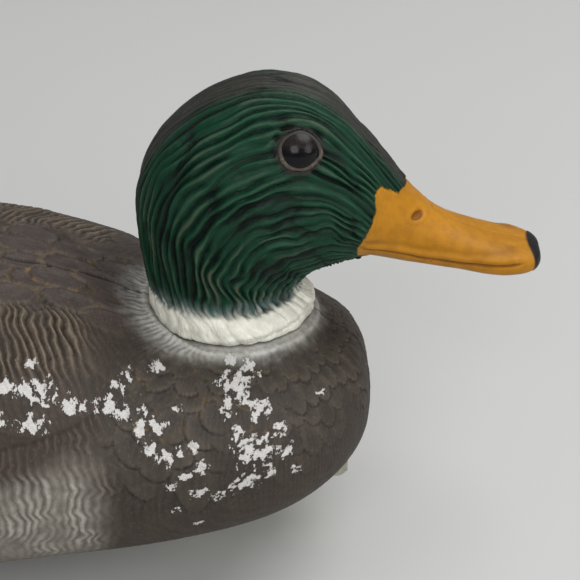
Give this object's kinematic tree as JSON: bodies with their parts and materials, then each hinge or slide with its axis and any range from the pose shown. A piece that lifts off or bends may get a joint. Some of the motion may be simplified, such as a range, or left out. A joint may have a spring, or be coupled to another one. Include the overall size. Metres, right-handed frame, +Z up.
{
  "type": "floating duck decoy",
  "caption": "Hollow moulded drake duck decoy with a head that turns on the body, a weighted keel underneath and eyelets for an anchor line.",
  "frame": {"origin": "centre of the keel's flat underside", "axes": "+X where the bill points, +Y to the duck's left, +Z up"},
  "size_m": [0.3926, 0.1616, 0.1623],
  "materials": {
    "hull_paint": "flat sprayed paint on moulded plastic, weathered",
    "head_paint": "satin sprayed paint on moulded plastic",
    "eye_glass": "polished black dome",
    "inner_plastic": "as moulded",
    "seal_rubber": "smooth",
    "steel": "plain, corrosion resistant",
    "keel_plastic": "as moulded, scuffed",
    "eyelet_brass": "dull, weathered",
    "ballast_iron": "rough cast"
  },
  "bodies": {
    "hull": {"body_shell_left": "hull_paint", "body_shell_right": "hull_paint", "back_seam_strip": "inner_plastic", "neck_socket": "inner_plastic", "neck_seal": "seal_rubber", "keel": "keel_plastic", "line_eyelet_front": "eyelet_brass", "line_eyelet_rear": "eyelet_brass", "ballast_bars": "ballast_iron", "keel_screws": "steel", "keel_washers": "steel", "keel_inserts": "eyelet_brass", "keel_blocks": "inner_plastic"},
    "head": {"head_shell_left": "head_paint", "head_shell_right": "head_paint", "eye_left": "eye_glass", "eye_right": "eye_glass", "neck_plate": "inner_plastic", "pivot_bolt": "steel", "pivot_springs": "steel", "pivot_washer": "steel", "pivot_nut": "steel"}
  },
  "joints": [
    {"name": "head_turn", "type": "hinge", "parent": "hull", "child": "head", "pos_m": [0.1075, 0, 0.084], "axis": [0, 0, 1], "range_deg": [-90, 90]}
  ]
}
